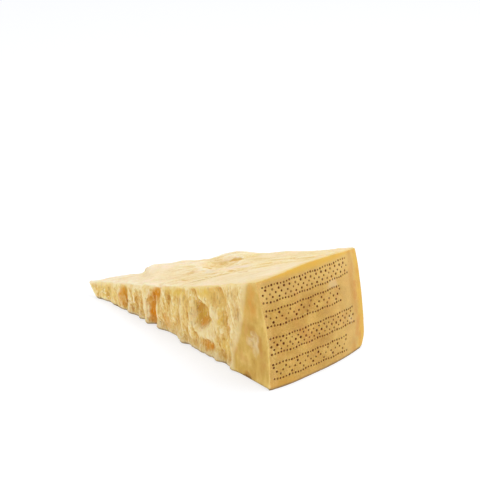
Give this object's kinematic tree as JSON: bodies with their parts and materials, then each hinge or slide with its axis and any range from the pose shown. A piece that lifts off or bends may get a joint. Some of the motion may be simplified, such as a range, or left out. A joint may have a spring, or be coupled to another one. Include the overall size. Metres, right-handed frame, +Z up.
{
  "type": "parmigiano reggiano cheese wedge",
  "caption": "Wedge of hard, aged grating cheese broken from a wheel, with flaky sides, a pale sloping top and a pin-pricked rind; it lies on its flat underside.",
  "frame": {"origin": "middle of the footprint, on the flat underside", "axes": "+Z up, +X along the wedge from the tip to the rind, -Y towards the front cut side"},
  "size_m": [0.2244, 0.1078, 0.08],
  "materials": {
    "cheese": "matt, slightly waxy, crumbly where broken"
  },
  "bodies": {
    "root": {"cheese_wedge": "cheese"}
  },
  "joints": []
}
